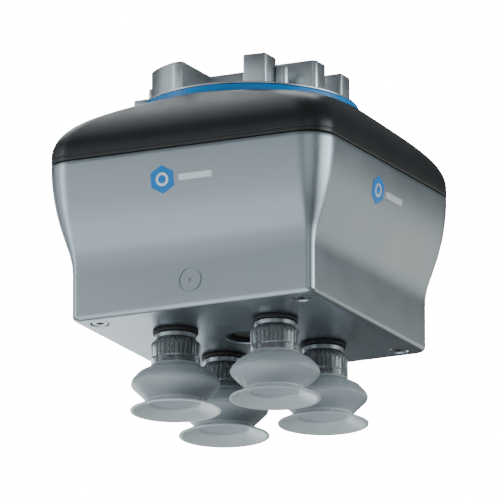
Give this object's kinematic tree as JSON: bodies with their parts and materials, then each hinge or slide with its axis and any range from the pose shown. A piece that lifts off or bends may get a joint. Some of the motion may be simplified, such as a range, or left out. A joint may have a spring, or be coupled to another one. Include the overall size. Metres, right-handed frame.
{
  "type": "vacuum gripper",
  "caption": "Electric vacuum gripper for a robot arm: square aluminium housing, black domed cover, tool-changer plate on top and bellows suction cups below.",
  "frame": {"origin": "centre of the tool changer's mating face", "axes": "+Z out of the mating face, towards the robot; -Y is the front, the side of channel A"},
  "size_m": [0.1, 0.1, 0.1121],
  "materials": {
    "aluminium_housing": "bead-blasted, clear anodised",
    "black_cover": "satin black moulding",
    "seal_rubber": "matt black",
    "blue_ring": "satin blue",
    "machined_aluminium": "machined, clear anodised",
    "black_insulator": "matt black moulding",
    "contact_brass": "gold-plated",
    "sintered_filter": "sintered, porous",
    "circuit_board": "green solder mask",
    "steel": "zinc-plated",
    "cup_silicone": "translucent grey silicone",
    "grey_plastic": "moulded dark grey",
    "hose_silicone": "translucent tubing"
  },
  "bodies": {
    "gripper": {"housing_shell": "aluminium_housing", "top_cover": "black_cover", "cover_gasket": "seal_rubber", "accent_ring": "blue_ring", "changer_plate": "machined_aluminium", "contact_block": "black_insulator", "contact_board": "contact_brass", "chassis": "machined_aluminium", "vent_insert": "black_insulator", "vent_filter": "sintered_filter", "manifold_block": "machined_aluminium", "main_board": "circuit_board", "motor_housing": "steel", "motor_bearing_rear": "steel", "motor_bearing_front": "steel", "crank_housing": "machined_aluminium", "changer_screw_1": "steel", "corner_screw_1": "steel", "seal_washer_1": "seal_rubber", "cup_fitting_1": "machined_aluminium", "cup_bellows_1": "cup_silicone", "port_filter_1": "sintered_filter", "changer_screw_2": "steel", "corner_screw_2": "steel", "seal_washer_2": "seal_rubber", "cup_fitting_2": "machined_aluminium", "cup_bellows_2": "cup_silicone", "port_filter_2": "sintered_filter", "changer_screw_3": "steel", "corner_screw_3": "steel", "seal_washer_3": "seal_rubber", "cup_fitting_3": "machined_aluminium", "cup_bellows_3": "cup_silicone", "port_filter_3": "sintered_filter", "changer_screw_4": "steel", "corner_screw_4": "steel", "seal_washer_4": "seal_rubber", "cup_fitting_4": "machined_aluminium", "cup_bellows_4": "cup_silicone", "port_filter_4": "sintered_filter", "pump_diaphragm_a": "seal_rubber", "pump_head_a": "grey_plastic", "suction_hose_a": "hose_silicone", "valve_body_a": "grey_plastic", "valve_spring_a": "steel", "pump_diaphragm_b": "seal_rubber", "pump_head_b": "grey_plastic", "suction_hose_b": "hose_silicone", "valve_body_b": "grey_plastic", "valve_spring_b": "steel"},
    "lip_1": {"cup_lip_1": "cup_silicone"},
    "lip_2": {"cup_lip_2": "cup_silicone"},
    "lip_3": {"cup_lip_3": "cup_silicone"},
    "lip_4": {"cup_lip_4": "cup_silicone"},
    "rotor": {"motor_rotor": "steel"},
    "rod_a": {"pump_rod_a": "grey_plastic"},
    "rod_b": {"pump_rod_b": "grey_plastic"},
    "plunger_a": {"valve_plunger_a": "steel"},
    "plunger_b": {"valve_plunger_b": "steel"}
  },
  "joints": [
    {"name": "cup_1_compress", "type": "slide", "parent": "gripper", "child": "lip_1", "axis": [0, 0, 1], "range_m": [0, 0.007], "stiffness_N_per_m": 2000, "deforming": ["cup_bellows_1"]},
    {"name": "cup_2_compress", "type": "slide", "parent": "gripper", "child": "lip_2", "axis": [0, 0, 1], "range_m": [0, 0.007], "stiffness_N_per_m": 2000, "deforming": ["cup_bellows_2"]},
    {"name": "cup_3_compress", "type": "slide", "parent": "gripper", "child": "lip_3", "axis": [0, 0, 1], "range_m": [0, 0.007], "stiffness_N_per_m": 2000, "deforming": ["cup_bellows_3"]},
    {"name": "cup_4_compress", "type": "slide", "parent": "gripper", "child": "lip_4", "axis": [0, 0, 1], "range_m": [0, 0.007], "stiffness_N_per_m": 2000, "deforming": ["cup_bellows_4"]},
    {"name": "motor_spin", "type": "hinge", "parent": "gripper", "child": "rotor", "pos_m": [0.006, 0, -0.04], "axis": [1, 0, 0], "continuous": true, "deforming": ["pump_diaphragm_a", "pump_diaphragm_b"]},
    {"name": "rod_a_pivot", "type": "hinge", "parent": "rotor", "child": "rod_a", "pos_m": [0.006, 0, -0.0385], "axis": [1, 0, 0], "continuous": true},
    {"name": "rod_b_pivot", "type": "hinge", "parent": "rotor", "child": "rod_b", "pos_m": [0.006, 0, -0.0385], "axis": [1, 0, 0], "continuous": true},
    {"name": "valve_a_stroke", "type": "slide", "parent": "gripper", "child": "plunger_a", "axis": [0, 0, 1], "range_m": [0, 0.0012], "stiffness_N_per_m": 400, "springref_m": -0.001, "deforming": ["valve_spring_a"]},
    {"name": "valve_b_stroke", "type": "slide", "parent": "gripper", "child": "plunger_b", "axis": [0, 0, 1], "range_m": [0, 0.0012], "stiffness_N_per_m": 400, "springref_m": -0.001, "deforming": ["valve_spring_b"]}
  ],
  "couplings": [
    {"joint": "rod_a_pivot", "follows": "motor_spin", "ratio": -1},
    {"joint": "rod_b_pivot", "follows": "motor_spin", "ratio": -1}
  ]
}
